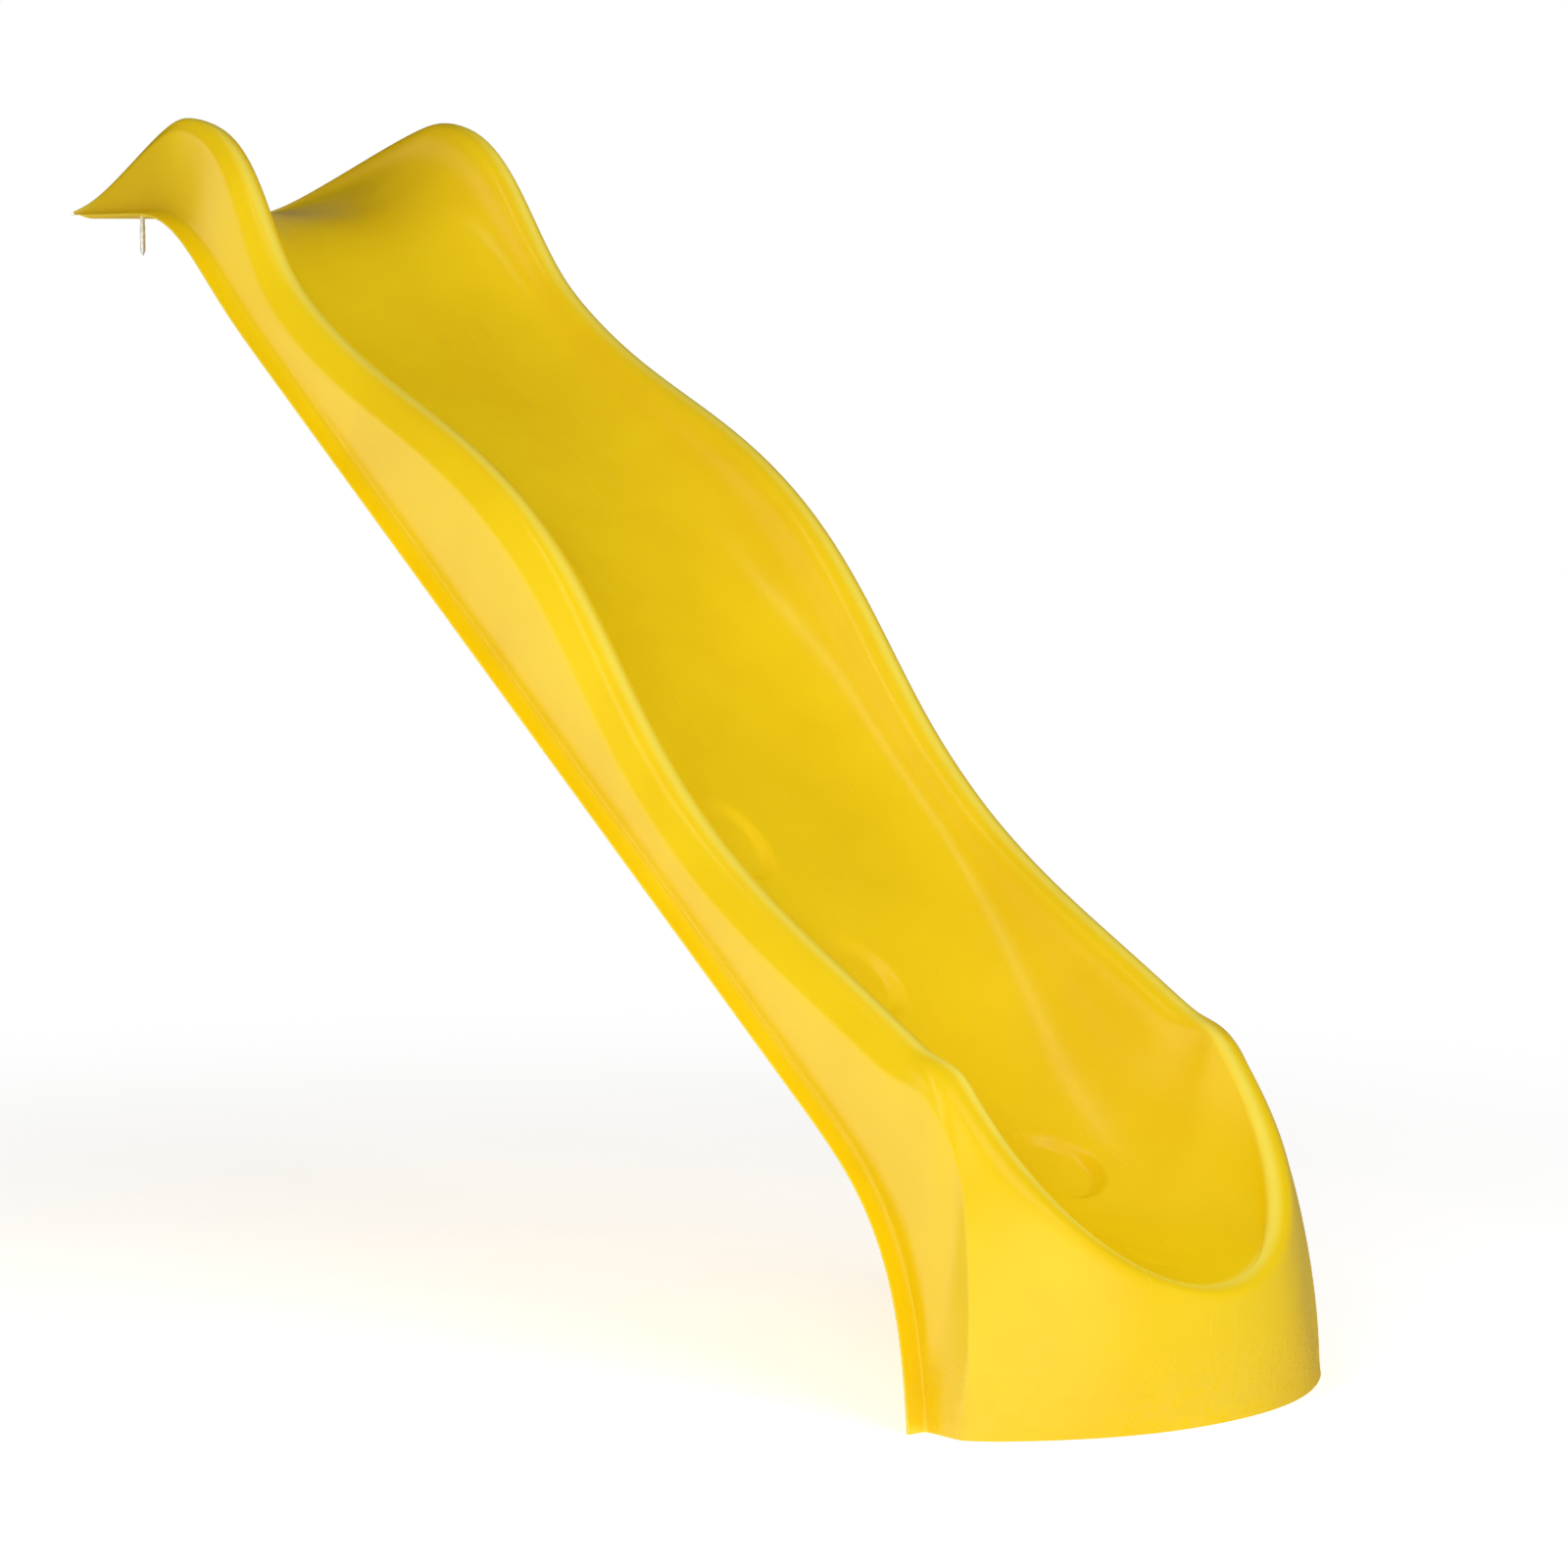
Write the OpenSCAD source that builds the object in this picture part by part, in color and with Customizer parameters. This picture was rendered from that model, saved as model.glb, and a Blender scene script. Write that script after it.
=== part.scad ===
// Wave slide for a raised play deck: one moulded shell, open underneath,
// whose lip lies on the deck and whose flared foot stands on the ground.
// Millimetres, Z up, the deck end towards +Y, ground at Z = 0.

/* [Deck lip] */
// height of the deck that the lip lies on
deck_h = 1524; // [1200:1:1600]
// distance from the foot line out to the end of the lip
lip_reach = 2066; // [1600:1:2400]
// half width of the lip at its end
lip_half = 193; // [150:1:250]
// where the flat lip ends and the first drop begins
lip_bend = 1745; // [1500:1:1900]

/* [Run] */
// slope of the lower edge, in degrees
slope = 39.8; // [30:0.1:50]
// where the straight lower edge ends above the foot: distance, height
bend_y = 262; // [100:1:400]
bend_z = 344; // [200:1:500]
// half width across the lower flange
flange_half = 325; // [250:1:400]
// width of the lower flange
flange_w = 28; // [10:1:50]
// half width across the rims
rim_half = 251; // [180:1:300]
// thickness of the moulded wall
wall = 6; // [4:0.5:10]

/* [Waves: distance up the slope, rim height, bed height] */
// upper dip
dip1_at = 1575; // [1400:1:1700]
dip1_rim = 76; // [50:1:120]
dip1_bed = 10; // [0:1:60]
// hump
hump_at = 1010; // [800:1:1200]
hump_rim = 176; // [100:1:250]
hump_bed = 42; // [0:1:100]
// lower dip
dip2_at = 480; // [300:1:600]
dip2_rim = 92; // [50:1:150]
dip2_bed = 14; // [0:1:60]

/* [Ears] */
// top of the ear: distance from the foot line, height
ear_y = 1700; // [1500:1:1900]
ear_top = 1672; // [1500:1:1800]
// half width between the ear tops
ear_half = 241; // [180:1:300]

/* [Scoop and foot] */
// shoulder where the rim leaves the run
shoulder_y = 172; // [100:1:250]
shoulder_z = 474; // [350:1:600]
// side of the scoop opening: half width, distance, height
scoop_half = 241; // [180:1:300]
scoop_y = 93; // [50:1:200]
scoop_z = 434; // [300:1:550]
// lowest point of the scoop opening
exit_y = -127; // [-200:1:0]
exit_z = 172; // [100:1:300]
// foot on the ground: half width at its back edge and where that is
foot_half = 358; // [250:1:400]
foot_back = 74; // [0:1:200]
// front corner of the foot
corner_x = 325; // [200:1:350]
corner_y = -4; // [-100:1:50]
// how far the front bows out beyond the foot line
foot_bow = 150; // [50:1:200]

/* [Rim rolls] */
// outer roll along the run
roll_out = 40; // [15:1:60]
// inner roll along the run
roll_in = 26; // [10:1:50]
// outer roll on the ears
roll_ear = 20; // [10:1:40]
// outer roll at the sides of the scoop
roll_scoop = 26; // [15:1:90]
// inner roll round the scoop
roll_edge = 9; // [6:1:20]
// roll over the exit
roll_exit = 20; // [12:1:40]

/* [Deck fasteners] */
// distance of the screw row from the end of the lip
screw_inset = 70; // [30:1:120]
// distance between neighbouring screws
screw_pitch = 110; // [60:1:170]
// screw length below the head, and the diameter over its thread
shank_l = 64; // [40:1:90]
thread_d = 8; // [6:0.5:12]
// length and diameter of the plain shank between head and thread
plain_l = 18; // [12:1:30]
plain_d = 7; // [5:0.5:11]
// head, over its flats, and its height
head_af = 13; // [10:1:19]
head_h = 5.5; // [4:0.5:9]
// washer
washer_d = 28; // [16:1:40]
washer_t = 1.6; // [1:0.1:4]
// clearance hole in the lip and the washer
hole_d = 9; // [7:0.5:14]

/* [Hidden] */
$fn = 40;

lip_top = deck_h + wall;
mid_y = (lip_reach - foot_bow) / 2;
down_run = [0, -cos(slope), -sin(slope)];
level = [0, -1, 0];
screw_y = lip_reach - screw_inset;

// ribs along each stretch between two named stations
ribs_per = [6, 6, 6, 6, 5, 6, 12];
// points across the bed and wall, the two rolls, the side panel, the flange
n_bed = 9;
n_roll_in = 3;
n_roll_out = 4;
n_panel = 3;
n_flange = 2;
n_foot = n_bed + n_roll_in + n_roll_out + n_panel;
n_all = n_foot + n_flange;
last = len(ribs_per);

function unit(v) = v / norm(v);
function mix(a, b, t) = a * (1 - t) + b * t;
function ease(t) = t <= 0 ? 0 : t >= 1 ? 1 : t * t * (3 - 2 * t);
function bezier(a, b, c, d, t) = a * pow(1 - t, 3) + b * 3 * t * pow(1 - t, 2)
    + c * 3 * t * t * (1 - t) + d * pow(t, 3);
function round_corner(a, b, c, t) = a * pow(1 - t, 2) + b * 2 * t * (1 - t) + c * t * t;
// a point on the run: half width, distance up the slope, height square to it
function on_run(x, s, h) = [x, bend_y + s * cos(slope) - h * sin(slope),
                            bend_z + s * sin(slope) + h * cos(slope)];
// a smooth line through stations [point, direction, fullness before, fullness after]
function leg(a, b, t) = let (far = norm(b[0] - a[0]))
    bezier(a[0], a[0] + unit(a[1]) * far * a[3], b[0] - unit(b[1]) * far * b[2], b[0], t);
function along(stations, u) = let (i = min(floor(u), len(stations) - 2))
    leg(stations[i], stations[i + 1], u - i);

rim_stations = [
    [[lip_half - 9, lip_reach, lip_top + 5], [0, -1, 0.12], 0.2, 0.22],
    [[ear_half, ear_y, ear_top], level, 0.14, 0.4],
    [on_run(rim_half, dip1_at, dip1_rim), down_run, 0.37, 0.37],
    [on_run(rim_half, hump_at, hump_rim), down_run, 0.37, 0.37],
    [on_run(rim_half, dip2_at, dip2_rim), down_run, 0.37, 0.37],
    [[rim_half - 1, shoulder_y, shoulder_z], [0, -0.86, -0.52], 0.37, 0.37],
    [[scoop_half, scoop_y, scoop_z], [0, exit_y - scoop_y, exit_z - scoop_z], 0.37, 0.37]
];
low_stations = [
    [[lip_half, lip_reach, lip_top], [0.25, -1, 0], 0.37, 0.37],
    [[lip_half + 96, lip_bend, lip_top], [0.3, -1, 0], 0.37, 0.42],
    [on_run(flange_half, dip1_at, wall), down_run, 0.37, 0.37],
    [on_run(flange_half, hump_at, wall), down_run, 0.37, 0.37],
    [on_run(flange_half, dip2_at, wall), down_run, 0.37, 0.37],
    [on_run(flange_half, 0, wall), down_run, 0.37, 0.37],
    [[foot_half, foot_back, 0], [0.06, -0.12, -1], 0.37, 0.37]
];
bed_stations = [
    [[0, lip_reach, lip_top], level, 0.37, 0.37],
    [[0, lip_bend, lip_top], level, 0.37, 0.37],
    [on_run(0, dip1_at, dip1_bed), down_run, 0.37, 0.37],
    [on_run(0, hump_at, hump_bed), down_run, 0.37, 0.37],
    [on_run(0, dip2_at, dip2_bed), down_run, 0.37, 0.37],
    [[0, 245, 272], [0, -0.84, -0.54], 0.37, 0.37],
    [[0, 100, 200], [0, -0.97, -0.24], 0.37, 0.37],
    [[0, -5, 182], [0, -1, -0.08], 0.37, 0.37]
];
foot_stations = [
    [[foot_half - flange_w, foot_back - 2, 0], [-0.02, -1, 0], 0.4, 0.4],
    [[corner_x, corner_y, 0], [-0.8, -0.6, 0], 0.37, 0.37],
    [[0, -foot_bow, 0], [-1, 0, 0], 0.37, 0.37]
];

function rim(u) = u <= 6 ? along(rim_stations, u) : let (a = (u - 6) * 90)
    [scoop_half * cos(a), scoop_y + (exit_y - scoop_y) * sin(a),
     scoop_z + (exit_z - scoop_z) * sin(a)];
function low(u) = along(low_stations, min(u, 6));
function bed(u) = along(bed_stations, min(u, 7));
function foot(u) = along(foot_stations, (u - 6) * 2);

// which way is outwards at each rib: sideways on the run, turning to the front round the scoop
function heading(u) = u <= 6 ? [1, 0, 0] : let (a = (u - 6) * 90)
    unit([(scoop_y - exit_y) * cos(a), -scoop_half * sin(a), 0]);
function travel(u) = let (v = min(u + 0.02, 6.99)) unit(rim(v) - rim(v - 0.02));
function outward(u) = let (h = heading(u), t = travel(u)) u > 6.97 ? [0, -1, 0] : unit(h - t * (h * t));
function upward(u) = let (c = cross(travel(u), outward(u)))
    u > 6.97 ? [0, 0, 1] : c[2] > 0 ? c : -c;
function roll_size(u) = u < 1 ? mix(6, roll_ear, ease(u))
    : u < 3 ? mix(roll_ear, roll_out, ease((u - 1) / 2))
    : u < 6.2 ? mix(roll_out, roll_scoop, ease((u - 5) / 1.2))
    : mix(roll_scoop, roll_exit, ease((u - 6.2) / 0.8));

// inner side, from the bed centre out to the top of the rim; the lip stays level for the fasteners
function inner(u, j) = let (
    b = bed(u), r = rim(u), o = outward(u),
    up = unit(mix(upward(u), [0, 0, 1], ease(u - 5))),
    flat = u < 6 ? [r[0], 0, 0] : [r[0], r[1] - b[1], 0],
    deep = max(5, (r - b) * up),
    ri = min(mix(roll_in, roll_edge, ease((u - 4.9) / 0.8)), 0.3 * deep),
    wd = unit(-up * 0.96 - o * 0.28),
    q = r - o * ri,
    p = q + wd * ri,
    full = mix(0.95, 0.42, ease(u)),
    v = j <= n_bed ? bezier(b, b + flat * 0.66, p + wd * deep * full, p, j / n_bed)
        : round_corner(p, q, r, (j - n_bed) / n_roll_in))
    u < 0.4 && v[2] < lip_top + 1 ? [v[0], v[1], lip_top] : v;

function crease(u) = u >= 6 ? foot(u) : let (
    l = low(u), t = unit(low(u + 0.01) - l), o = unit([1, 0, 0] - t * t[0]), c = cross(t, o))
    l - o * mix(7, flange_w, ease(u)) + c * (c[2] > 0 ? 2 : -2) * ease(u);

// outer side, from the top of the rim down to the crease and along the flange
function outer(u, j) = let (
    r = rim(u), o = outward(u), ro = roll_size(u), k = crease(u),
    q = r + o * ro, d = k - q, e = q + unit(d) * min(ro, 0.45 * norm(d)))
    j <= n_roll_out ? round_corner(r, q, e, j / n_roll_out)
    : j <= n_roll_out + n_panel ? mix(e, k, (j - n_roll_out) / n_panel)
    : mix(k, low(u), (j - n_roll_out - n_panel) / n_flange);
function skin(u, j) = j <= n_bed + n_roll_in ? inner(u, j) : outer(u, j - n_bed - n_roll_in);

rib_at = [for (s = [0 : last - 1]) for (i = [0 : ribs_per[s] - 1]) s + i / ribs_per[s], last];
n_ribs = len(rib_at);
foot_rib = search(6, rib_at)[0];
function width_at(i) = i <= foot_rib ? n_all : n_foot;

// one half of the moulding as a grid of ribs, and the wall's outward direction at each point
half = [for (u = rib_at) [for (j = [0 : n_all]) skin(u, j > n_foot && u > 6 ? n_foot : j)]];
function out_of(i, j) = let (
    on = j > n_foot && i >= foot_rib ? i : min(i + 1, n_ribs - 1),
    a = half[max(i - 1, 0)][j], b = half[on][j],
    c = half[i][max(j - 1, 0)], d = half[i][min(j + 1, width_at(i))],
    n = unit(cross(i == n_ribs - 1 ? [-1, 0, 0] : b - a, d - c)))
    j == 0 ? unit([0, n[1], n[2]]) : n;
function backed(i, j) = let (
    n = unit(mix([0, 0, 1], out_of(i, j), ease(rib_at[i] / 0.8))),
    g = i >= foot_rib && j >= n_foot ? unit([n[0], n[1], 0]) : n)
    half[i][j] - g * wall;
rear = [for (i = [0 : n_ribs - 1]) [for (j = [0 : width_at(i)]) backed(i, j)]];

function both_sides(grid) = [for (i = [0 : n_ribs - 1])
    for (c = [(i < n_ribs - 1 ? -width_at(i) : 0) : width_at(i)])
        c < 0 ? [-grid[i][-c][0], grid[i][-c][1], grid[i][-c][2]]
        : c == 0 || i == n_ribs - 1 ? [0, grid[i][c][1], grid[i][c][2]] : grid[i][c]];
// index of the point on rib i, c columns from the centre line
function at(i, c) = i <= foot_rib ? i * (2 * n_all + 1) + c + n_all
    : (foot_rib + 1) * (2 * n_all + 1) + (i - foot_rib - 1) * (2 * n_foot + 1)
    + (i < n_ribs - 1 ? c + n_foot : abs(c));
function quad(a, b, c, d) = [[a, b, c], [a, c, d]];
n_points = at(n_ribs - 1, n_foot) + 1;
// the open edge of the skin, from the left end of the lip round the foot and back
edge = concat(
    [for (i = [0 : foot_rib]) at(i, -n_all)],
    [for (c = [n_all - 1 : -1 : n_foot]) at(foot_rib, -c)],
    [for (i = [foot_rib + 1 : n_ribs - 1]) at(i, -n_foot)],
    [for (i = [n_ribs - 2 : -1 : foot_rib]) at(i, n_foot)],
    [for (c = [n_foot + 1 : n_all]) at(foot_rib, c)],
    [for (i = [foot_rib - 1 : -1 : 0]) at(i, n_all)],
    [for (c = [n_all - 1 : -1 : -n_all + 1]) at(0, c)]
);
skin_faces = [for (i = [0 : n_ribs - 2]) for (c = [-width_at(i + 1) : width_at(i + 1) - 1])
    each quad(at(i, c), at(i, c + 1), at(i + 1, c + 1), at(i + 1, c))];
edge_faces = [for (k = [0 : len(edge) - 1]) let (a = edge[k], b = edge[(k + 1) % len(edge)])
    each quad(a, b, b + n_points, a + n_points)];
rear_faces = [for (f = skin_faces) [f[0] + n_points, f[2] + n_points, f[1] + n_points]];

module slide_body() {
    color("gold")
    difference() {
        translate([0, -mid_y, 0])
            polyhedron(points = concat(both_sides(half), both_sides(rear)),
                       faces = concat(skin_faces, rear_faces, edge_faces), convexity = 8);
        for (x = [-screw_pitch, 0, screw_pitch])
            translate([x, screw_y - mid_y, deck_h - 5])
                cylinder(d = hole_d, h = wall + 10);
    }
}

module washer(x) {
    color("silver")
    translate([x, screw_y - mid_y, lip_top])
        difference() {
            cylinder(d = washer_d, h = washer_t);
            translate([0, 0, -1])
                cylinder(d = hole_d, h = washer_t + 2);
        }
}

// hex-headed lag screw, drawn down through washer and lip
module deck_screw(x) {
    color("silver")
    translate([x, screw_y - mid_y, lip_top + washer_t]) {
        cylinder(d = head_af / cos(30), h = head_h, $fn = 6);
        translate([0, 0, -plain_l])
            cylinder(d = plain_d, h = plain_l);
        translate([0, 0, -shank_l + thread_d])
            cylinder(d = thread_d, h = shank_l - thread_d - plain_l + 0.01);
        translate([0, 0, -shank_l])
            cylinder(d1 = 1, d2 = thread_d, h = thread_d);
    }
}

module washer_left() washer(-screw_pitch);
module washer_centre() washer(0);
module washer_right() washer(screw_pitch);
module deck_screw_left() deck_screw(-screw_pitch);
module deck_screw_centre() deck_screw(0);
module deck_screw_right() deck_screw(screw_pitch);

slide_body();
washer_left();
washer_centre();
washer_right();
deck_screw_left();
deck_screw_centre();
deck_screw_right();
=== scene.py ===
import bpy
import math
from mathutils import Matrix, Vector
from mathutils.kdtree import KDTree


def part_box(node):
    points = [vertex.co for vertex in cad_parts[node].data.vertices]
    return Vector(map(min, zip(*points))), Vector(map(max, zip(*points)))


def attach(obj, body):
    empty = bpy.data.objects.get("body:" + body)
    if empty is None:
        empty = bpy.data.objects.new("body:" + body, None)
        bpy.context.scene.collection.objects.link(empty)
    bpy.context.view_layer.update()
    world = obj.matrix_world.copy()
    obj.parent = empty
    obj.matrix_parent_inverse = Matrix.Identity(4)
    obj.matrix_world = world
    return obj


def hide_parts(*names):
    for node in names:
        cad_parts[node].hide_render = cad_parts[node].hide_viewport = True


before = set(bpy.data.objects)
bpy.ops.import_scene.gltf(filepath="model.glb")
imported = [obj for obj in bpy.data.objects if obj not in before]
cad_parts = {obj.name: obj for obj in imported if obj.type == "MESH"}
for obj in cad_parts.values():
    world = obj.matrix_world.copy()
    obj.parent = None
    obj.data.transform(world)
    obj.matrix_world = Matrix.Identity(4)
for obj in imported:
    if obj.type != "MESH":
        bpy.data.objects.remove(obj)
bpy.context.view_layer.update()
slideLow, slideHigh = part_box("slide_body")
print("frame loaded:", len(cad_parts), "nodes")


# selection and mesh helpers
def nothingSelected():
    if bpy.context.object and bpy.context.object.mode != "OBJECT":
        bpy.ops.object.mode_set(mode="OBJECT")
    bpy.ops.object.select_all(action="DESELECT")


def pick(*things):  # the last one becomes active
    nothingSelected()
    for thing in things:
        thing.select_set(True)
    bpy.context.view_layer.objects.active = things[-1]


def joined(things, name):
    pick(*things)
    if len(things) > 1:
        bpy.ops.object.join()
    piece = bpy.context.object
    piece.name = name
    piece.data.name = name
    return piece


def addModifier(piece, kind, **values):
    pick(piece)
    modifier = piece.modifiers.new(kind.title(), kind)
    for key, value in values.items():
        setattr(modifier, key, value)
    bpy.ops.object.modifier_apply(modifier=modifier.name)


def tidyMesh(piece, distance=0.00005):
    pick(piece)
    bpy.ops.object.mode_set(mode="EDIT")
    bpy.ops.mesh.select_all(action="SELECT")
    bpy.ops.mesh.remove_doubles(threshold=distance)
    bpy.ops.mesh.normals_make_consistent(inside=False)
    bpy.ops.object.mode_set(mode="OBJECT")


def mix(a, b, t):
    return a * (1 - t) + b * t


def ease(t):
    t = min(max(t, 0.0), 1.0)
    return t * t * (3 - 2 * t)


# the moulded slide, in metres: out from the line of the foot's front corners, and up from the ground
slide = {
    "wall": 0.006,
    "lipReach": 2.066, "lipHalf": 0.193, "lipHeight": 1.524, "lipBend": 1.745,
    "slope": 39.8, "bendOut": 0.262, "bendUp": 0.344,
    "flangeHalf": 0.325, "flangeWidth": 0.028, "rimHalf": 0.251,
    "upperDip": (1.575, 0.076, 0.010),   # up the slope, rim height, bed height
    "hump": (1.010, 0.176, 0.042),
    "lowerDip": (0.480, 0.092, 0.014),
    "ear": (0.241, 1.700, 1.672),        # half width, out, up
    "shoulder": (0.250, 0.172, 0.474),
    "scoopSide": (0.241, 0.093, 0.434),
    "scoopEnd": (-0.127, 0.172),
    "footBack": (0.358, 0.074), "footCorner": (0.334, -0.004), "footBow": 0.150,
    "rollInner": 0.026, "rollRun": 0.040, "rollEar": 0.020, "rollEdge": 0.009, "rollScoop": 0.026,
    "rollExit": 0.020,
    "bandTurn": 34,                      # degrees between the rim band and the side panel
    "cornerSize": 0.007, "filletSize": 0.008,
    "ribsPerStretch": (7, 6, 5, 5, 6, 6, 11),
    "curveSteps": 3,
}
footLine = slideLow.y + slide["footBow"]
lipTop = slide["lipHeight"] + slide["wall"]
slopeCos, slopeSin = math.cos(math.radians(slide["slope"])), math.sin(math.radians(slide["slope"]))
downhill = Vector((0, -slopeCos, -slopeSin))
level = Vector((0, -1, 0))


def onRun(x, up, height):
    return Vector((x, slide["bendOut"] + up * slopeCos - height * slopeSin,
                   slide["bendUp"] + up * slopeSin + height * slopeCos))


def cubic(a, b, c, d, t):
    s = 1 - t
    return a * s ** 3 + b * (3 * t * s * s) + c * (3 * t * t * s) + d * t ** 3


def splitCubic(a, b, c, d, t):
    ab, bc, cd = mix(a, b, t), mix(b, c, t), mix(c, d, t)
    abc, bcd = mix(ab, bc, t), mix(bc, cd, t)
    middle = mix(abc, bcd, t)
    return (a, ab, abc, middle), (middle, bcd, cd, d)


def corner(a, b, c):  # a round corner from a to c that aims at b
    return (a, a + (b - a) * 2 / 3, c + (b - c) * 2 / 3, c)


def straight(a, b):
    return (a, mix(a, b, 1 / 3), mix(a, b, 2 / 3), b)


def station(place, direction, before=0.37, after=0.37):
    return (Vector(place), Vector(direction).normalized(), before, after)


def alongStations(stations, u):
    i = min(int(u), len(stations) - 2)
    (a, aWay, _, aFull), (b, bWay, bFull, _) = stations[i], stations[i + 1]
    far = (b - a).length
    return cubic(a, a + aWay * far * aFull, b - bWay * far * bFull, b, u - i)


dips = ("upperDip", "hump", "lowerDip")
endOut, endUp = slide["scoopEnd"]
sideX, sideOut, sideUp = slide["scoopSide"]
rimStations = (
    [station((slide["lipHalf"] - 0.009, slide["lipReach"], lipTop + 0.005), (0, -1, 0.12), 0.2, 0.22),
     station(slide["ear"], level, 0.14, 0.4)]
    + [station(onRun(slide["rimHalf"], slide[d][0], slide[d][1]), downhill) for d in dips]
    + [station(slide["shoulder"], (0, -0.86, -0.52)),
       station(slide["scoopSide"], (0, endOut - sideOut, endUp - sideUp))])
lowStations = (
    [station((slide["lipHalf"], slide["lipReach"], lipTop), (0.25, -1, 0)),
     station((slide["lipHalf"] + 0.096, slide["lipBend"], lipTop), (0.3, -1, 0), 0.37, 0.42)]
    + [station(onRun(slide["flangeHalf"], slide[d][0], slide["wall"]), downhill) for d in dips]
    + [station(onRun(slide["flangeHalf"], 0, slide["wall"]), downhill),
       station((*slide["footBack"], 0), (0.06, -0.12, -1))])
bedStations = (
    [station((0, slide["lipReach"], lipTop), level), station((0, slide["lipBend"], lipTop), level)]
    + [station(onRun(0, slide[d][0], slide[d][2]), downhill) for d in dips]
    + [station((0, 0.245, 0.272), (0, -0.84, -0.54)), station((0, 0.100, 0.200), (0, -0.97, -0.24)),
       station((0, -0.005, 0.182), (0, -1, -0.08))])
frontStations = [station((*slide["footCorner"], 0), (-0.72, -0.69, 0)),
                 station((0, -slide["footBow"], 0), (-1, 0, 0))]
# the soft edge where the side panel meets the front, down to the corner of the foot
edgeStations = [station((0.291, 0.165, 0.447), (0, -0.8, -0.6)),
                station((0.292, 0.108, 0.408), (0, -0.75, -0.66)),
                station((0.292, 0.056, 0.340), (0.08, -0.42, -0.9)),
                station((0.306, 0.023, 0.250), (0.14, -0.25, -1)),
                station((*slide["footCorner"], 0), (0.06, -0.03, -1))]
edgeTimes = (5.0, 5.5, 6.0, 6.25, 6.5)


def rimLine(u):
    if u <= 6:
        return alongStations(rimStations, u)
    turn = math.radians((u - 6) * 90)
    return Vector((sideX * math.cos(turn), sideOut + (endOut - sideOut) * math.sin(turn),
                   sideUp + (endUp - sideUp) * math.sin(turn)))


def lowLine(u):
    return alongStations(lowStations, min(u, 6))


def groundLine(u):  # where the foot meets the ground
    back = Vector((slide["footBack"][0] - slide["flangeWidth"], slide["footBack"][1] - 0.002, 0))
    if u < 6.5:
        return mix(back, frontStations[0][0], (u - 6) * 2)
    return alongStations(frontStations, (u - 6.5) * 2)


def edgeLine(u):
    u = min(max(u, edgeTimes[0]), edgeTimes[-1])
    i = max(k for k in range(len(edgeTimes) - 1) if edgeTimes[k] <= u)
    return alongStations(edgeStations, i + (u - edgeTimes[i]) / (edgeTimes[i + 1] - edgeTimes[i]))


def travel(u):
    v = min(u + 0.02, 6.99)
    return (rimLine(v) - rimLine(v - 0.02)).normalized()


def outward(u):  # sideways on the run, turning to the front round the scoop
    if u > 6.97:
        return Vector((0, -1, 0))
    side = Vector((1, 0, 0))
    if u > 6:
        turn = math.radians((u - 6) * 90)
        side = Vector(((sideOut - endOut) * math.cos(turn), -sideX * math.sin(turn), 0)).normalized()
    way = travel(u)
    return (side - way * side.dot(way)).normalized()


def upward(u):
    if u > 6.97:
        return Vector((0, 0, 1))
    up = travel(u).cross(outward(u))
    return up if up.z > 0 else -up


def rollSize(u):
    if u < 1:
        return mix(0.006, slide["rollEar"], ease(u))
    if u < 3:
        return mix(slide["rollEar"], slide["rollRun"], ease((u - 1) / 2))
    if u < 6.2:
        return mix(slide["rollRun"], slide["rollScoop"], ease((u - 5) / 1.2))
    return mix(slide["rollScoop"], slide["rollExit"], ease((u - 6.2) / 0.8))


def panelFoot(u):  # where the side panel meets the flange, or the front meets the ground
    if u >= 6:
        return groundLine(u), lowLine(6)
    low = lowLine(u)
    way = (lowLine(u + 0.01) - low).normalized()
    out = (Vector((1, 0, 0)) - way * way.x).normalized()
    up = way.cross(out)
    up = up if up.z > 0 else -up
    return low - out * mix(0.007, slide["flangeWidth"], ease(u)) + up * 0.002 * ease(u), low


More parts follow.
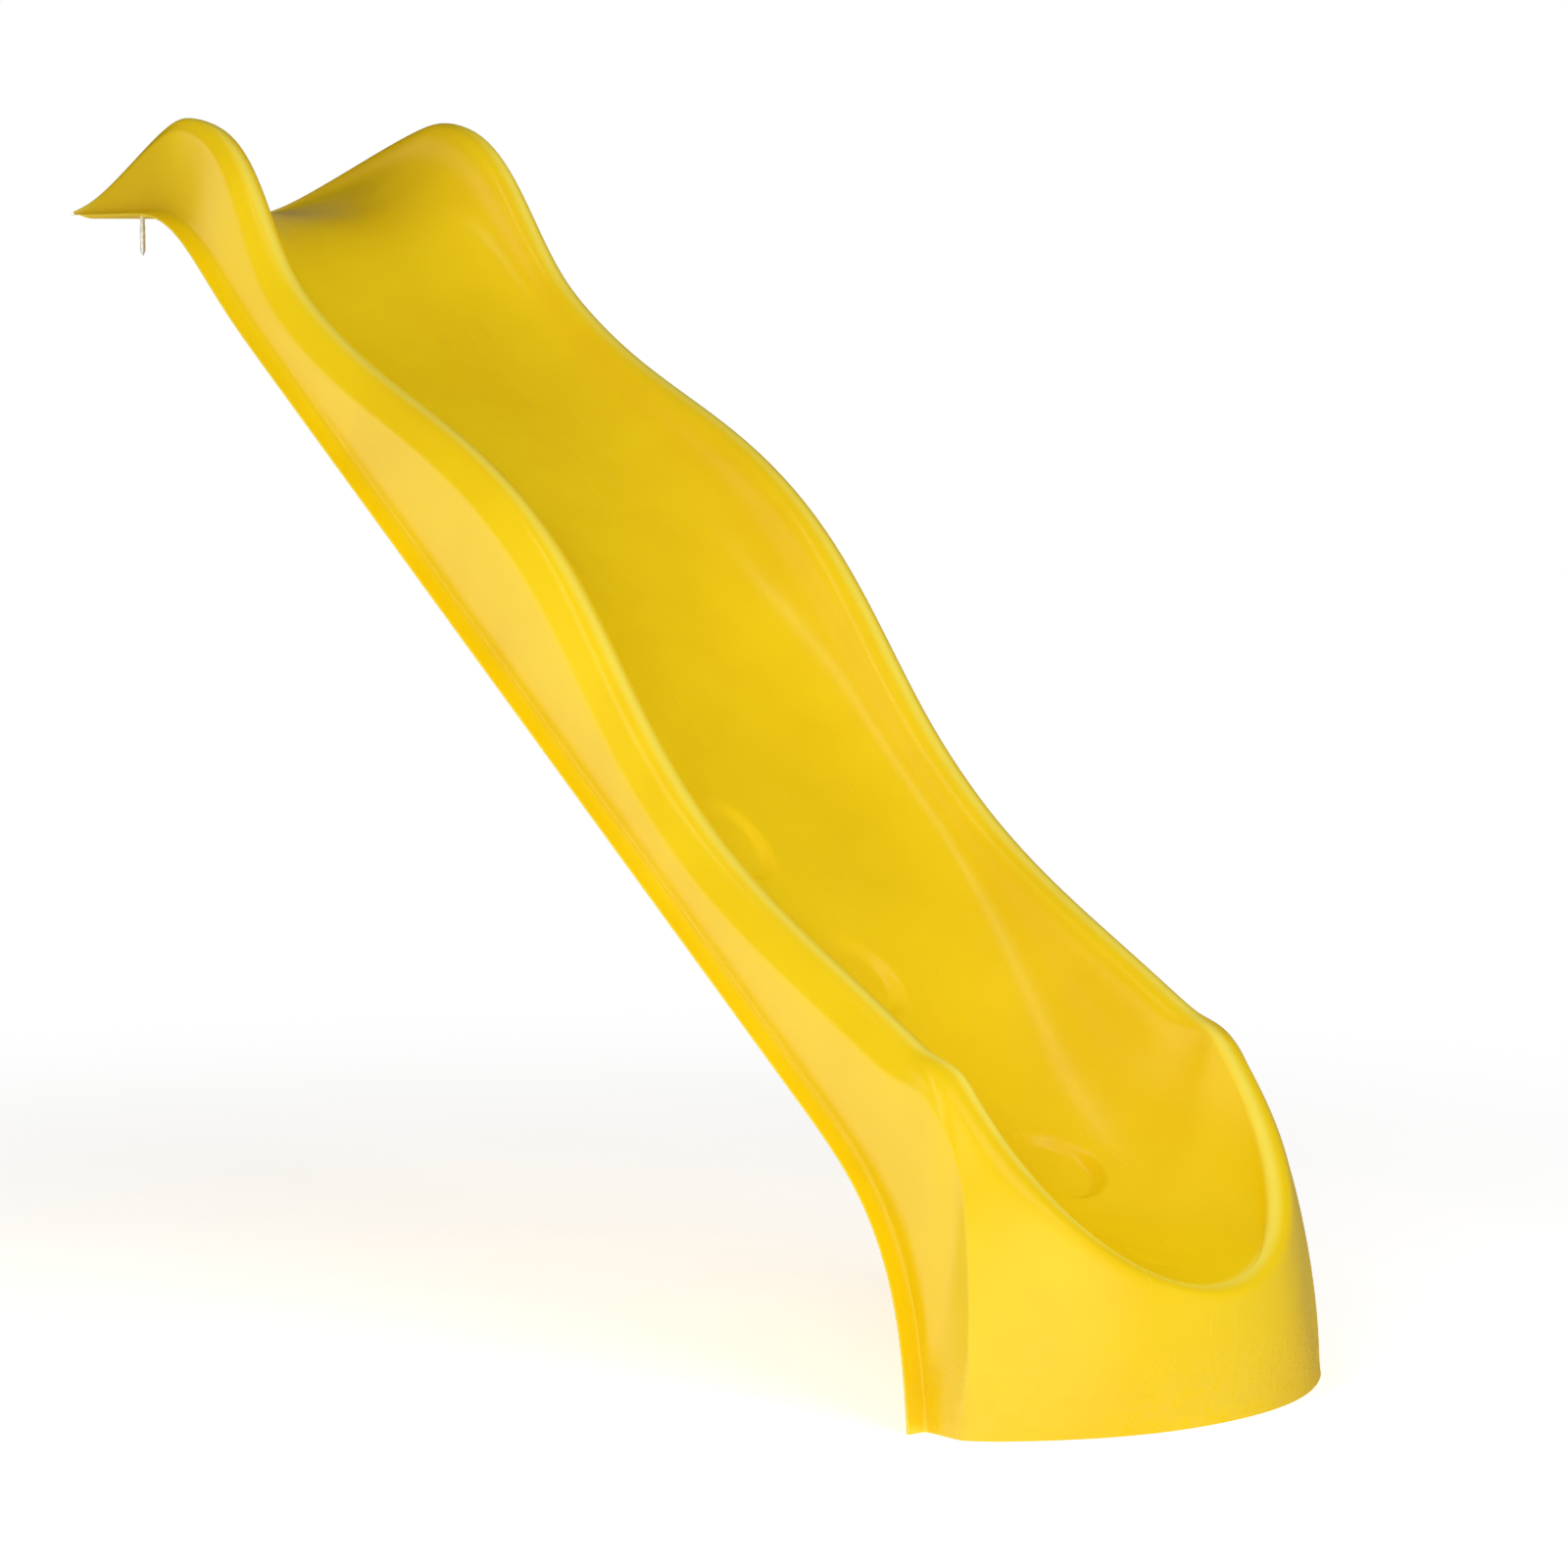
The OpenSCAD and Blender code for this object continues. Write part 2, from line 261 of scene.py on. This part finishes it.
def ribLegs(u):
    bed, rim, out, size = alongStations(bedStations, min(u, 7)), rimLine(u), outward(u), rollSize(u)
    up = mix(upward(u), Vector((0, 0, 1)), ease(u - 5)).normalized()
    flat = Vector((rim.x, 0 if u < 6 else rim.y - bed.y, 0))
    deep = max(0.005, (rim - bed).dot(up))
    inner = min(mix(slide["rollInner"], slide["rollEdge"], ease((u - 4.9) / 0.8)), 0.3 * deep)
    wallWay = (-up * 0.96 - out * 0.28).normalized()
    rollFoot = rim - out * inner + wallWay * inner
    full = mix(0.95, 0.42, ease(u))
    trough = (bed, bed + flat * 0.66, rollFoot + wallWay * deep * full, rollFoot)
    first, rest = splitCubic(*trough, 1 / 3)
    second, third = splitCubic(*rest, 1 / 2)
    legs = [first, second, third, corner(rollFoot, rim - out * inner, rim)]
    # over the rim and down to the crease
    foot, low = panelFoot(u)
    aim = rim + out * size
    down = foot - aim
    far = down.length
    down.normalize()
    drop = min(size, 0.45 * far)
    crease = aim + down * drop
    turn = math.radians(slide["bandTurn"]) * ease(u * 1.5)
    arrive = (down * math.cos(turn) + out * math.sin(turn)).normalized()
    soft = min(slide["cornerSize"], 0.25 * drop)
    creaseTop = crease - arrive * soft
    band = splitCubic(rim, rim + out * size * 0.6, creaseTop - arrive * drop * 0.45, creaseTop, 0.5)
    frontPart = ease((u - 5) / 0.6)
    if frontPart > 0:
        edge = edgeLine(u)
        if u > 6.25:
            least = groundLine(u) + (rim - groundLine(u)).normalized() * 0.02
            edge = least if edge.z < least.z or u > 6.5 else edge
        toEdge = edge - aim
        frontDrop = min(size, 0.45 * toEdge.length)
        toEdge.normalize()
        rollEnd = aim + toEdge * frontDrop
        edgeTop = edge - toEdge * slide["cornerSize"]
        front = (corner(rim, aim, rollEnd), straight(rollEnd, edgeTop))
        band = [tuple(mix(a, b, frontPart) for a, b in zip(band[k], front[k])) for k in (0, 1)]
        crease = mix(crease, edge, frontPart)
    legs += list(band)
    creaseTop = band[1][3]
    sideWay = foot - crease
    room = sideWay.length
    sideWay.normalize()
    creaseEnd = crease + sideWay * min(slide["cornerSize"], 0.25 * room)
    fillet = min(slide["filletSize"], 0.25 * room)
    if u >= 6:
        flangeStart = foot
    else:
        flangeStart = foot + (low - foot) * 0.35 * mix(1, 0.2, ease((u - 5.5) * 2))
    panelEnd = foot - sideWay * fillet
    legs += [corner(creaseTop, crease, creaseEnd), straight(creaseEnd, panelEnd),
             corner(panelEnd, foot, flangeStart)]
    return legs, (straight(flangeStart, low) if u <= 6 else None)


def softLegs(u):  # inside the scoop's shoulder the trough wall leans on its neighbours, up to the rim
    legs, flangeLeg = ribLegs(u)
    share = ease((u - 4.9) / 0.4) * ease((6.9 - u) / 0.3)
    if share > 0:
        near = [ribLegs(u + step)[0] for step in (-0.28, -0.14, 0.14, 0.28)]
        for k in range(3):
            mean = [sum((other[k][i] for other in near), legs[k][i].copy()) / 5 for i in range(4)]
            legs[k] = tuple(mix(legs[k][i], mean[i], share * (1 - (3 * k + i) / 9)) for i in range(4))
    return legs, flangeLeg


def addRib(legs, steps):
    bpy.ops.curve.primitive_bezier_curve_add()
    rib = bpy.context.object
    points = rib.data.splines[0].bezier_points
    points.add(len(legs) - 1)
    shift = Vector((0, footLine, 0))
    for point in points:
        point.handle_left_type = point.handle_right_type = "FREE"
    for i, point in enumerate(points):
        before, after = legs[max(i - 1, 0)], legs[min(i, len(legs) - 1)]
        point.co = (before[3] if i else after[0]) + shift
        point.handle_left = (before[2] if i else after[0]) + shift
        point.handle_right = (after[1] if i < len(legs) else before[3]) + shift
    points[-1].handle_right = points[-1].co
    rib.data.dimensions = "3D"
    rib.data.resolution_u = steps
    pick(rib)
    bpy.ops.object.convert(target="MESH")
    return bpy.context.object


def loftRibs(ribs, name):
    size = len(ribs[0].data.vertices)
    loft = joined(ribs[::-1], name)  # the first rib is active, so its points come first
    order = [loft.data.vertices[i].co.copy() for i in range(len(loft.data.vertices))]
    bpy.ops.object.mode_set(mode="EDIT")
    bpy.ops.mesh.select_mode(type="EDGE")
    for k in range(len(order) // size - 1):
        bpy.ops.mesh.select_all(action="DESELECT")
        bpy.ops.object.mode_set(mode="OBJECT")
        for edge in loft.data.edges:
            a, b = edge.vertices
            edge.select = a // size == b // size and a // size in (k, k + 1)
        bpy.ops.object.mode_set(mode="EDIT")
        bpy.ops.mesh.bridge_edge_loops()
    bpy.ops.object.mode_set(mode="OBJECT")
    return loft


stretches = slide["ribsPerStretch"]
ribPlaces = [k + i / n for k, n in enumerate(stretches) for i in range(n)] + [len(stretches)]
nothingSelected()
sideRibs, flangeRibs = [], []
for u in ribPlaces:
    legs, flangeLeg = softLegs(u)
    if u < 0.4:  # the lip stays level under the screws
        legs = [tuple(Vector((p.x, p.y, max(p.z, lipTop) if p.z > lipTop + 0.001 else lipTop)) for p in leg)
                for leg in legs]
        flangeLeg = tuple(Vector((p.x, p.y, lipTop)) for p in flangeLeg)
    sideRibs.append(addRib(legs, slide["curveSteps"]))
    if flangeLeg:
        flangeRibs.append(addRib([flangeLeg], slide["curveSteps"]))
print("ribs drawn:", len(sideRibs), "and", len(flangeRibs))
body = joined([loftRibs(flangeRibs, "flange"), loftRibs(sideRibs, "side")], "slideShell")
tidyMesh(body)
print("half lofted:", len(body.data.vertices), "points")
for vertex in body.data.vertices:  # the centre line sits on the mirror plane
    if vertex.co.x < 0.0002:
        vertex.co.x = 0
addModifier(body, "MIRROR", use_axis=(True, False, False), use_clip=True, use_mirror_merge=True,
            merge_threshold=0.0003)
tidyMesh(body)
lowest = min(body.data.polygons, key=lambda f: (f.center - Vector((0, footLine + 0.6, 0.6))).length)
if lowest.normal.z < 0:
    pick(body)
    bpy.ops.object.mode_set(mode="EDIT")
    bpy.ops.mesh.select_all(action="SELECT")
    bpy.ops.mesh.flip_normals()
    bpy.ops.object.mode_set(mode="OBJECT")
addModifier(body, "SUBSURF", levels=2, render_levels=2, boundary_smooth="PRESERVE_CORNERS")
print("skin smoothed:", len(body.data.polygons), "faces")

# shallow grip marks pressed into the bed: middle, downhill end, normal
gripMarks = {
    "length": 0.076, "width": 0.055, "depth": 0.014, "edge": 0.68,
    "places": (((0.062, 0.229, 0.269), (0.092, 0.175, 0.246), (-0.24, -0.53, 0.82)),
               ((-0.050, 0.478, 0.510), (0.002, 0.436, 0.457), (0.03, -0.76, 0.64)),
               ((-0.130, 0.640, 0.685), (-0.135, 0.585, 0.636), (0.12, -0.66, 0.74))),
}


def pressMark(thing, middle, end, normal):
    middle, end, normal = Vector(middle), Vector(end), Vector(normal).normalized()
    along = end - middle
    along = (along - normal * along.dot(normal)).normalized()
    across = normal.cross(along)
    middle.y += footLine

    def fromMiddle(point):  # 0 in the middle of the oval, 1 on its edge
        way = point - middle
        if abs(way.dot(normal)) > 0.05:
            return 9
        return math.hypot(way.dot(along) / gripMarks["length"], way.dot(across) / gripMarks["width"])

    pick(thing)
    bpy.ops.object.mode_set(mode="EDIT")
    bpy.ops.mesh.select_mode(type="FACE")
    bpy.ops.mesh.select_all(action="DESELECT")
    bpy.ops.object.mode_set(mode="OBJECT")
    for face in thing.data.polygons:
        face.select = fromMiddle(face.center) < 1.45
    bpy.ops.object.mode_set(mode="EDIT")
    bpy.ops.mesh.subdivide(number_cuts=2)
    bpy.ops.mesh.select_mode(type="VERT")
    bpy.ops.mesh.select_all(action="DESELECT")
    bpy.ops.object.mode_set(mode="OBJECT")
    for vertex in thing.data.vertices:
        vertex.select = fromMiddle(vertex.co) < 1.3
    bpy.ops.object.mode_set(mode="EDIT")
    bpy.ops.mesh.vertices_smooth(factor=0.5, repeat=6)
    bpy.ops.object.mode_set(mode="OBJECT")
    for vertex in thing.data.vertices:
        t = fromMiddle(vertex.co)
        if t < 1:
            share = 0.5 + 0.5 * (vertex.co - middle).dot(along) / gripMarks["length"]
            depth = gripMarks["depth"] * mix(0.45, 1, ease(share))
            vertex.co -= normal * depth * (1 - ease((t - gripMarks["edge"]) / (1 - gripMarks["edge"])))


for place in gripMarks["places"]:
    pressMark(body, *place)
print("grip marks pressed:", len(body.data.polygons), "faces")
# how near each point is to the crest of the rim, for a painted highlight: paler yellow laid along the crest
crestLine = KDTree(561)
for i in range(561):
    crestLine.insert(rimLine(i / 80) + Vector((0, footLine, 0)), i)
crestLine.balance()
crest = body.data.attributes.new("crest", "FLOAT", "POINT")
for i, vertex in enumerate(body.data.vertices):
    point = Vector((abs(vertex.co.x), vertex.co.y, vertex.co.z))
    crest.data[i].value = 1 - ease(crestLine.find(point)[2] / 0.016)
addModifier(body, "SOLIDIFY", thickness=slide["wall"], offset=-1, use_even_offset=True, thickness_clamp=0.6)
for vertex in body.data.vertices:
    vertex.co.z = max(vertex.co.z, 0)
pick(body)
bpy.ops.object.shade_smooth_by_angle(angle=math.radians(40))
print("wall made:", len(body.data.polygons), "faces")

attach(body, "root")
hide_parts("slide_body")


# shared effects, each giving only a colour, a mask or a normal
def newMaterial(name):
    material = bpy.data.materials.new(name)
    material.use_nodes = True
    return material, material.node_tree.nodes, material.node_tree.links


def newGroup(name, takes, gives):
    group = bpy.data.node_groups.new(name, "ShaderNodeTree")
    for label, kind, value in takes:
        plug = group.interface.new_socket(label, in_out="INPUT", socket_type="NodeSocket" + kind)
        if value is not None:
            plug.default_value = value
    for label, kind in gives:
        group.interface.new_socket(label, in_out="OUTPUT", socket_type="NodeSocket" + kind)
    given, taken = group.nodes.new("NodeGroupInput"), group.nodes.new("NodeGroupOutput")
    return group, group.nodes, group.links, given.outputs, taken.inputs


def addNoise(nodes, links, vector, scale, detail=2.0, roughness=0.5):
    noise = nodes.new("ShaderNodeTexNoise")
    links.new(vector, noise.inputs["Vector"])
    noise.inputs["Detail"].default_value = detail
    noise.inputs["Roughness"].default_value = roughness
    if isinstance(scale, (int, float)):
        noise.inputs["Scale"].default_value = scale
    else:
        links.new(scale, noise.inputs["Scale"])
    return noise.outputs[0]


def addRange(nodes, links, value, low, high, toLow=0.0, toHigh=1.0, smooth=True):
    ramp = nodes.new("ShaderNodeMapRange")
    ramp.interpolation_type = "SMOOTHSTEP" if smooth else "LINEAR"
    links.new(value, ramp.inputs["Value"])
    for label, amount in (("From Min", low), ("From Max", high), ("To Min", toLow), ("To Max", toHigh)):
        if isinstance(amount, (int, float)):
            ramp.inputs[label].default_value = amount
        else:
            links.new(amount, ramp.inputs[label])
    return ramp.outputs["Result"]


def addMath(nodes, links, how, a, b):
    step = nodes.new("ShaderNodeMath")
    step.operation = how
    for plug, amount in zip(step.inputs, (a, b)):
        if isinstance(amount, (int, float)):
            plug.default_value = amount
        else:
            links.new(amount, plug)
    return step.outputs[0]


def addBlend(nodes, links, factor, a, b):
    blend = nodes.new("ShaderNodeMix")
    blend.data_type = "RGBA"
    for plug, amount in ((blend.inputs[0], factor), (blend.inputs[6], a), (blend.inputs[7], b)):
        if isinstance(amount, (int, float, tuple)):
            plug.default_value = amount
        else:
            links.new(amount, plug)
    return blend.outputs[2]


def useGroup(nodes, links, group, **values):
    node = nodes.new("ShaderNodeGroup")
    node.node_tree = group
    for label, amount in values.items():
        if isinstance(amount, (int, float, tuple)):
            node.inputs[label].default_value = amount
        else:
            links.new(amount, node.inputs[label])
    return node.outputs[0]


vectorIn = ("Vector", "Vector", None)
surfaceGrain, nodes, links, given, taken = newGroup(
    "surfaceGrain", [vectorIn, ("Scale", "Float", 400.0), ("Depth", "Float", 0.0002),
                     ("Wave", "Float", 0.0)], [("Normal", "Vector")])
bump = nodes.new("ShaderNodeBump")
links.new(addNoise(nodes, links, given["Vector"], given["Scale"], 3.0), bump.inputs["Height"])
links.new(given["Depth"], bump.inputs["Distance"])
swell = nodes.new("ShaderNodeBump")  # slow waviness of a moulded wall
links.new(addNoise(nodes, links, given["Vector"], 9.0, 1.0), swell.inputs["Height"])
links.new(given["Wave"], swell.inputs["Distance"])
links.new(swell.outputs["Normal"], bump.inputs["Normal"])
links.new(bump.outputs["Normal"], taken["Normal"])

colourDrift, nodes, links, given, taken = newGroup(
    "colourDrift", [vectorIn, ("Deep", "Color", None), ("Pale", "Color", None), ("Scale", "Float", 4.0)],
    [("Color", "Color")])
drift = addNoise(nodes, links, given["Vector"], given["Scale"], 3.0, 0.6)
links.new(addBlend(nodes, links, addRange(nodes, links, drift, 0.3, 0.7), given["Deep"], given["Pale"]),
          taken["Color"])

# painted highlight: a mask on sharp convex edges such as the rims, from pointiness, broken up by noise
edgeHighlightMask, nodes, links, given, taken = newGroup(
    "edgeHighlightMask", [vectorIn, ("Low", "Float", 0.525), ("High", "Float", 0.62)], [("Mask", "Float")])
shape = nodes.new("ShaderNodeNewGeometry")
crest = addRange(nodes, links, shape.outputs["Pointiness"], given["Low"], given["High"])
patch = addRange(nodes, links, addNoise(nodes, links, given["Vector"], 30.0), 0.25, 0.65, 0.55, 1.0)
links.new(addMath(nodes, links, "MULTIPLY", crest, patch), taken["Mask"])

scuffMask, nodes, links, given, taken = newGroup(
    "scuffMask", [vectorIn, ("Across", "Float", 260.0), ("Along", "Float", 5.0), ("Low", "Float", 0.58),
                  ("High", "Float", 0.72)], [("Mask", "Float")])
stretch = nodes.new("ShaderNodeCombineXYZ")
for label, plug in (("X", "Across"), ("Y", "Along"), ("Z", "Along")):
    links.new(given[plug], stretch.inputs[label])
drawn = nodes.new("ShaderNodeVectorMath")
drawn.operation = "MULTIPLY"
links.new(given["Vector"], drawn.inputs[0])
links.new(stretch.outputs[0], drawn.inputs[1])
lines = addNoise(nodes, links, drawn.outputs[0], 1.0, 2.0)
lines = addRange(nodes, links, lines, given["Low"], given["High"])
worn = addRange(nodes, links, addNoise(nodes, links, given["Vector"], 7.0), 0.35, 0.7)
links.new(addMath(nodes, links, "MULTIPLY", lines, worn), taken["Mask"])

lowDust, nodes, links, given, taken = newGroup(
    "lowDust", [vectorIn, ("Top", "Float", 0.12)], [("Mask", "Float")])
parts = nodes.new("ShaderNodeSeparateXYZ")
links.new(given["Vector"], parts.inputs[0])
rise = addRange(nodes, links, parts.outputs["Z"], 0.0, given["Top"], 1.0, 0.0)
speck = addRange(nodes, links, addNoise(nodes, links, given["Vector"], 60.0, 4.0, 0.7), 0.35, 0.7)
links.new(addMath(nodes, links, "MULTIPLY", rise, speck), taken["Mask"])

# edge and crest are pale yellows painted on the rims as highlight; edge also tints the real scuffs
plasticLook = {
    "deep": (0.89, 0.585, 0.0015, 1), "pale": (0.945, 0.65, 0.003, 1),
    "edge": (1.0, 0.86, 0.10, 1), "crest": (1.0, 0.84, 0.12, 1), "dust": (0.50, 0.36, 0.18, 1), "rough": 0.25,
}
plastic, nodes, links = newMaterial("yellowPlastic")
shader = nodes["Principled BSDF"]
where = nodes.new("ShaderNodeTexCoord").outputs["Object"]
paint = useGroup(nodes, links, colourDrift, Vector=where, Deep=plasticLook["deep"],
                 Pale=plasticLook["pale"], Scale=3.0)
# painted highlight: the pale edge colour laid on the convex rim edges
edges = useGroup(nodes, links, edgeHighlightMask, Vector=where)
paint = addBlend(nodes, links, addMath(nodes, links, "MULTIPLY", edges, 0.65), paint, plasticLook["edge"])
# painted highlight: the pale crest colour blended in near the rim crest, standing in for the shine on the
# rolled rim
paintedCrestHighlight = nodes.new("ShaderNodeAttribute")
paintedCrestHighlight.attribute_name = "crest"
paint = addBlend(nodes, links, addMath(nodes, links, "MULTIPLY", paintedCrestHighlight.outputs["Fac"], 0.7), paint,
                 plasticLook["crest"])
sides = nodes.new("ShaderNodeSeparateXYZ")
links.new(where, sides.inputs[0])
middle = addMath(nodes, links, "ABSOLUTE", sides.outputs["X"], 0.0)
middle = addRange(nodes, links, middle, 0.12, 0.2, 1.0, 0.0)
scuffs = addMath(nodes, links, "MULTIPLY", useGroup(nodes, links, scuffMask, Vector=where), middle)
paint = addBlend(nodes, links, addMath(nodes, links, "MULTIPLY", scuffs, 0.025), paint, plasticLook["edge"])
dust = useGroup(nodes, links, lowDust, Vector=where)
paint = addBlend(nodes, links, addMath(nodes, links, "MULTIPLY", dust, 0.06), paint, plasticLook["dust"])
links.new(paint, shader.inputs["Base Color"])
rough = addMath(nodes, links, "MULTIPLY_ADD", scuffs, 0.05)
rough.node.inputs[2].default_value = plasticLook["rough"]
rough = addMath(nodes, links, "ADD", rough, addMath(nodes, links, "MULTIPLY", dust, 0.25))
links.new(rough, shader.inputs["Roughness"])
links.new(useGroup(nodes, links, surfaceGrain, Vector=where, Scale=420.0, Depth=0.00012, Wave=0.0012),
          shader.inputs["Normal"])
body.data.materials.clear()
body.data.materials.append(plastic)


# zinc-plated steel on the washers and screws, with turning rings round each one's own axis
zincLook = {"deep": (0.50, 0.51, 0.50, 1), "pale": (0.74, 0.74, 0.70, 1), "rings": 1100.0, "metal": 0.45}


def zincSteel(name, node):
    material, nodes, links = newMaterial(name)
    shader = nodes["Principled BSDF"]
    low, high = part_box(node)
    centred = nodes.new("ShaderNodeMapping")
    centred.inputs["Location"].default_value = [-(a + b) / 2 for a, b in zip(low, high)]
    links.new(nodes.new("ShaderNodeTexCoord").outputs["Object"], centred.inputs["Vector"])
    where = centred.outputs[0]
    links.new(useGroup(nodes, links, colourDrift, Vector=where, Deep=zincLook["deep"],
                       Pale=zincLook["pale"], Scale=160.0), shader.inputs["Base Color"])
    shader.inputs["Metallic"].default_value = zincLook["metal"]
    rings = nodes.new("ShaderNodeTexWave")
    rings.wave_type = "RINGS"
    rings.rings_direction = "Z"
    rings.inputs["Scale"].default_value = zincLook["rings"]
    rings.inputs["Distortion"].default_value = 1.5
    links.new(where, rings.inputs["Vector"])
    links.new(addRange(nodes, links, rings.outputs["Fac"], 0.0, 1.0, 0.28, 0.42), shader.inputs["Roughness"])
    links.new(useGroup(nodes, links, surfaceGrain, Vector=where, Scale=2200.0, Depth=0.00003),
              shader.inputs["Normal"])
    return material


for side in ("left", "centre", "right"):
    for kind in ("washer", "deck_screw"):
        node = kind + "_" + side
        zinc = zincSteel("zinc_" + node, node)
        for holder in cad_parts[node].material_slots:
            holder.material = zinc
print("materials made")


# floor, light and camera
studio = {
    "cameraPlace": (-4.98195, -4.65573, 1.48465), "pitch": 5.7386, "turn": -43, "lens": 123.21,
    "floorSize": 400, "floorFade": (0.8, 3.0), "skyLight": 0.36,
    # how bright the studio walls look in reflections: by height, to the back, and left against right
    "wallTop": (0.15, 0.6), "ceiling": 0.006, "back": (0.75, 0.88), "left": (-0.5, 0.1),
    "leftGloss": 2.0, "rightGloss": 0.12,
}
nothingSelected()
bpy.ops.mesh.primitive_plane_add(size=studio["floorSize"], location=(0, 0, -0.0005))
floor = bpy.context.object
floor.name = "floor"
floorPaint, nodes, links = newMaterial("paleFloor")
away = nodes.new("ShaderNodeVectorMath")
away.operation = "LENGTH"
links.new(nodes.new("ShaderNodeTexCoord").outputs["Object"], away.inputs[0])
near, far = studio["floorFade"]
shader = nodes["Principled BSDF"]
grain = addNoise(nodes, links, nodes["Texture Coordinate"].outputs["Object"], 3.0)
pale = addRange(nodes, links, grain, 0.0, 1.0, 0.83, 0.87)
fade = addRange(nodes, links, away.outputs["Value"], near, far, 1.0, 0.0)
links.new(addMath(nodes, links, "MULTIPLY", pale, fade), shader.inputs["Base Color"])
links.new(addRange(nodes, links, away.outputs["Value"], near, far, 0.5, 1.0),
          shader.inputs["Emission Strength"])
shader.inputs["Emission Color"].default_value = (1, 1, 1, 1)
shader.inputs["Roughness"].default_value = 0.9
shader.inputs["Specular IOR Level"].default_value = 0
floor.visible_glossy = False
floor.data.materials.append(floorPaint)

world = bpy.data.worlds.new("studio")
bpy.context.scene.world = world
world.use_nodes = True
nodes, links = world.node_tree.nodes, world.node_tree.links
rays = nodes.new("ShaderNodeLightPath")
heights = nodes.new("ShaderNodeTexCoord")
parts = nodes.new("ShaderNodeSeparateXYZ")
links.new(heights.outputs["Generated"], parts.inputs[0])
low, high = studio["wallTop"]
wall = addRange(nodes, links, parts.outputs["X"], *studio["left"], studio["leftGloss"], studio["rightGloss"])
wall = addMath(nodes, links, "MULTIPLY", wall,
               addRange(nodes, links, parts.outputs["Y"], *studio["back"], 1.0, 0.04))
wall = addMath(nodes, links, "MULTIPLY", wall,
               addRange(nodes, links, parts.outputs["Z"], low, high, 1.0, 0.0))
wall = addMath(nodes, links, "ADD", wall, studio["ceiling"])
glossy = nodes.new("ShaderNodeMix")
glossy.inputs[2].default_value = studio["skyLight"]
links.new(wall, glossy.inputs[3])
links.new(rays.outputs["Is Glossy Ray"], glossy.inputs[0])
seen = nodes.new("ShaderNodeMix")
seen.inputs[3].default_value = 1.0
links.new(glossy.outputs[0], seen.inputs[2])
links.new(rays.outputs["Is Camera Ray"], seen.inputs[0])
nodes["Background"].inputs["Color"].default_value = (1, 1, 1, 1)
links.new(seen.outputs[0], nodes["Background"].inputs["Strength"])


def areaLight(name, place, aim, size, power, inGloss=True):
    bpy.ops.object.light_add(type="AREA", location=place)
    lamp = bpy.context.object
    lamp.name = name
    lamp.data.shape = "RECTANGLE"
    lamp.data.size, lamp.data.size_y = size
    lamp.data.energy = power
    lamp.visible_glossy = inGloss
    lamp.rotation_euler = (Vector(aim) - Vector(place)).to_track_quat("-Z", "Y").to_euler()
    return lamp


areaLight("topLight", (-0.4, -3.1, 2.7), (0, -0.8, 0.4), (1.8, 1.8), 34, inGloss=False)
areaLight("stripLight", (-2.4, -1.2, 3.6), (0, -0.2, 0.8), (0.2, 3.4), 9)
areaLight("wallLight", (-2.8, -1.8, 2.6), (0.3, -0.4, 0.7), (1.6, 1.6), 37, inGloss=False)
areaLight("frontLight", (1.6, -4.6, 1.3), (0, -0.9, 0.3), (1.4, 1.2), 8, inGloss=False)

cameraData = bpy.data.cameras.new("camera")
camera = bpy.data.objects.new("camera", cameraData)
bpy.context.scene.collection.objects.link(camera)
camera.location = Vector(studio["cameraPlace"]) + Vector((0, footLine, 0))
camera.rotation_euler = (math.radians(90 - studio["pitch"]), 0, math.radians(studio["turn"]))
cameraData.lens = studio["lens"]
cameraData.sensor_width = 36
bpy.context.scene.camera = camera
bpy.context.scene.view_settings.view_transform = "Standard"
print("studio set")
